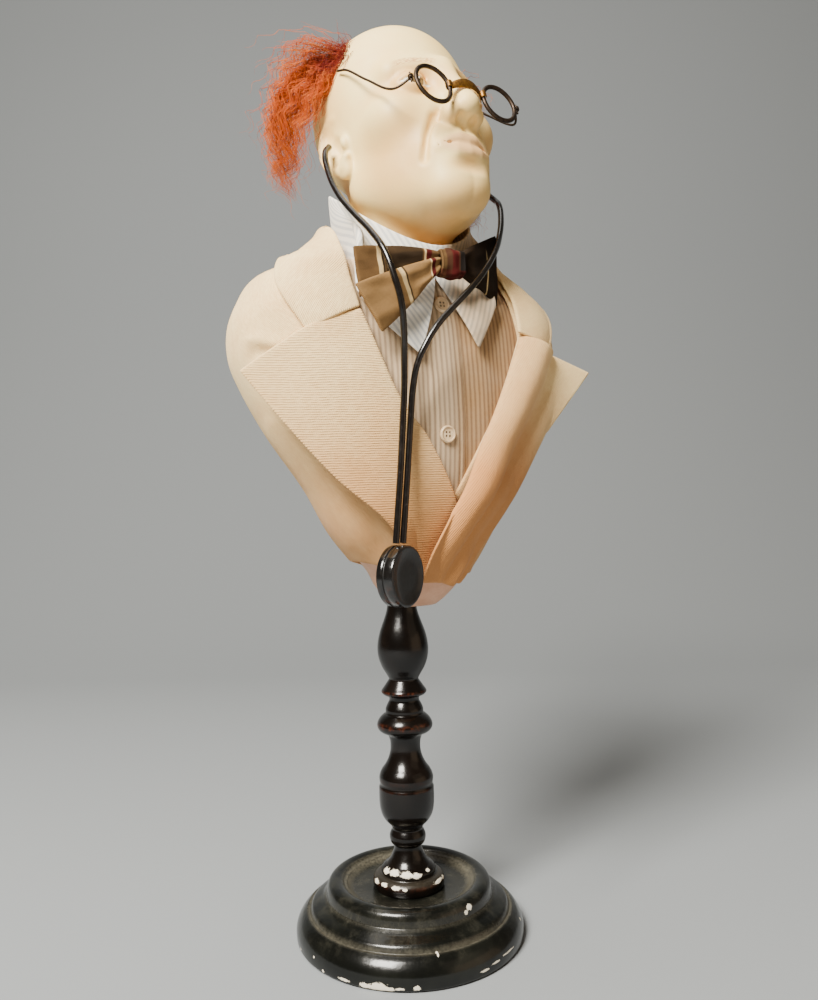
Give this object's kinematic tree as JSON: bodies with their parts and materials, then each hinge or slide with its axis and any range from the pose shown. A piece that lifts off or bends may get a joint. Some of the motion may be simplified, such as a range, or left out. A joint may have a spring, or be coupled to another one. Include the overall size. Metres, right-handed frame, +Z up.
{
  "type": "caricature bust figurine",
  "caption": "Head-and-shoulders doctor bust in a cream jacket with bow tie, spectacles and stethoscope, on a turned black stand.",
  "frame": {"origin": "middle of the stand's flat underside", "axes": "+Z up, the torso's front faces -Y, the figure's right is -X"},
  "size_m": [0.2579, 0.1625, 0.6348],
  "materials": {
    "ebonised_wood": "turned wood, black paint with a soft gloss, dust in the hollows, chips down to white ground",
    "moulded_form": "moulded body form, matt pinkish tan",
    "painted_composition": "cast composition, cream paint with ochre airbrushed hollows, satin",
    "striped_cotton": "plain weave cotton, off-white with grey-blue stripes",
    "button_plastic": "small cream shirt button, soft gloss",
    "jacket_twill": "cream wool twill with fine diagonal ribs",
    "tie_plaid": "tan and brown plaid cotton with cream and burgundy stripes",
    "black_tubing": "smooth black tubing, glossy",
    "black_lacquer": "black disc with a grooved glossy rim, brown wear on the edges",
    "bronzed_wire": "dark bronzed wire",
    "brass_strip": "cut brass strip, unpolished",
    "ginger_mohair": "ginger mohair fibres in loose waves"
  },
  "bodies": {
    "root": {"stand_base": "ebonised_wood", "stand_column": "ebonised_wood", "bust_form": "moulded_form", "head": "painted_composition", "shirt_front": "striped_cotton", "shirt_collar": "striped_cotton", "shirt_button_upper": "button_plastic", "shirt_button_lower": "button_plastic", "jacket_body": "jacket_twill", "jacket_collar": "jacket_twill", "jacket_lapel_right": "jacket_twill", "jacket_lapel_left": "jacket_twill", "bow_tie_wing_right": "tie_plaid", "bow_tie_wing_left": "tie_plaid", "bow_tie_knot": "tie_plaid", "stethoscope_tube_right": "black_tubing", "stethoscope_tube_left": "black_tubing", "stethoscope_chest_piece": "black_lacquer", "glasses_ring_right": "bronzed_wire", "glasses_ring_left": "bronzed_wire", "glasses_bridge": "brass_strip", "glasses_temple_right": "bronzed_wire", "glasses_temple_left": "bronzed_wire", "hair_tuft_right": "ginger_mohair", "hair_tuft_left": "ginger_mohair"}
  },
  "joints": []
}
